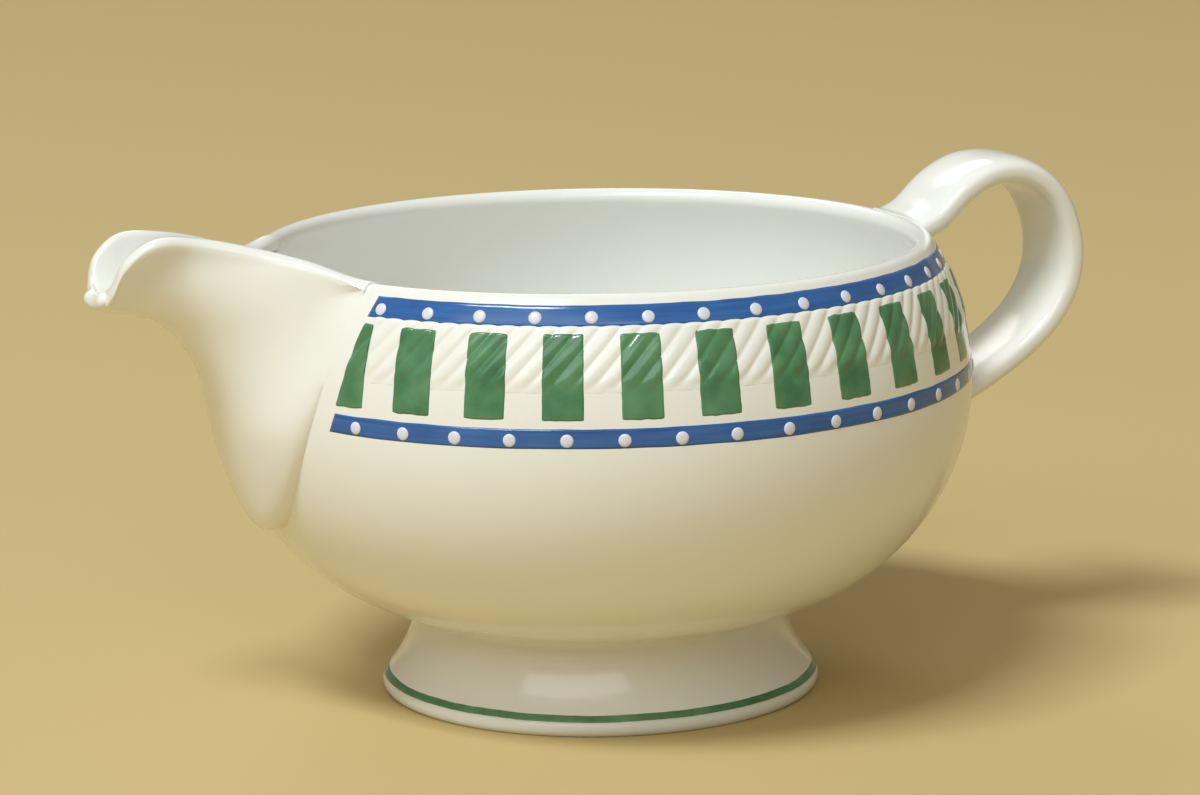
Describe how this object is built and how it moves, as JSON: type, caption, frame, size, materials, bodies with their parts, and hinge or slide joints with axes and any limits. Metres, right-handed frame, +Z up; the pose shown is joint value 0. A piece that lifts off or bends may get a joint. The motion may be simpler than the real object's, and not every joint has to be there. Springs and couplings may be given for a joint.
{
  "type": "gravy boat",
  "caption": "Round footed gravy boat in white glazed porcelain with a drooping pouring lip, a strap loop handle and a painted band of blocks between dotted lines.",
  "frame": {"origin": "centre of the foot, on the table plane", "axes": "+Z up, +X from the bowl's axis towards the handle, the spout points along -X"},
  "size_m": [0.1891, 0.1354, 0.0915],
  "materials": {
    "porcelain": "clear gloss glaze over white porcelain",
    "blue_glaze_colour": "brushed cobalt blue under a gloss glaze",
    "green_glaze_colour": "mottled leaf green under a gloss glaze",
    "white_enamel": "raised bluish-white gloss enamel"
  },
  "bodies": {
    "root": {"bowl": "porcelain", "spout": "porcelain", "handle": "porcelain", "foot": "porcelain", "rope_frieze": "porcelain", "upper_blue_band": "blue_glaze_colour", "lower_blue_band": "blue_glaze_colour", "upper_dots": "white_enamel", "lower_dots": "white_enamel", "green_blocks": "green_glaze_colour", "green_foot_line": "green_glaze_colour"}
  },
  "joints": []
}
